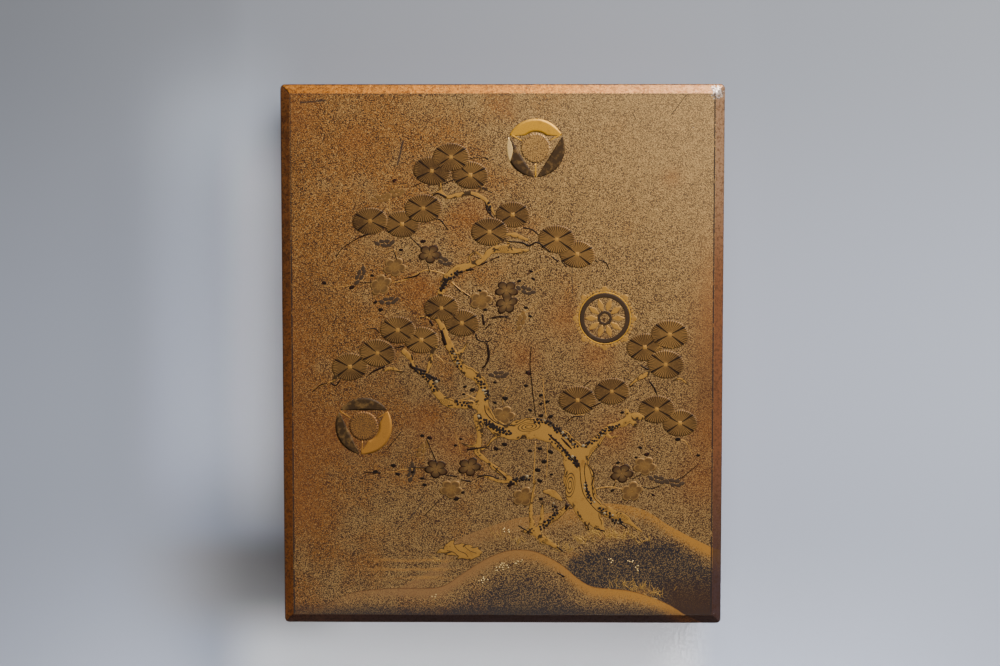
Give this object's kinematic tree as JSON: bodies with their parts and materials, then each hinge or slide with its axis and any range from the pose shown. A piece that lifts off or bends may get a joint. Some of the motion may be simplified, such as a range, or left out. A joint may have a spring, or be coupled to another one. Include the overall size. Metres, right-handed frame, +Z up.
{
  "type": "writing box",
  "caption": "Low rectangular lacquered writing box with an overhanging lid, its flat top mitre-chamfered all round and decorated with a gold landscape.",
  "frame": {"origin": "middle of the underside, on the surface that the box lies on", "axes": "+X across the box, +Y along its long side towards the top of the lid's picture, +Z up through the lid"},
  "size_m": [0.205, 0.252, 0.046],
  "materials": {
    "lid_lacquer": "polished clear lacquer over sprinkled gold flakes, with a gold sprinkled picture",
    "base_lacquer": "polished clear lacquer over sprinkled gold flakes, plain"
  },
  "bodies": {
    "root": {"lid": "lid_lacquer", "base": "base_lacquer"}
  },
  "joints": []
}
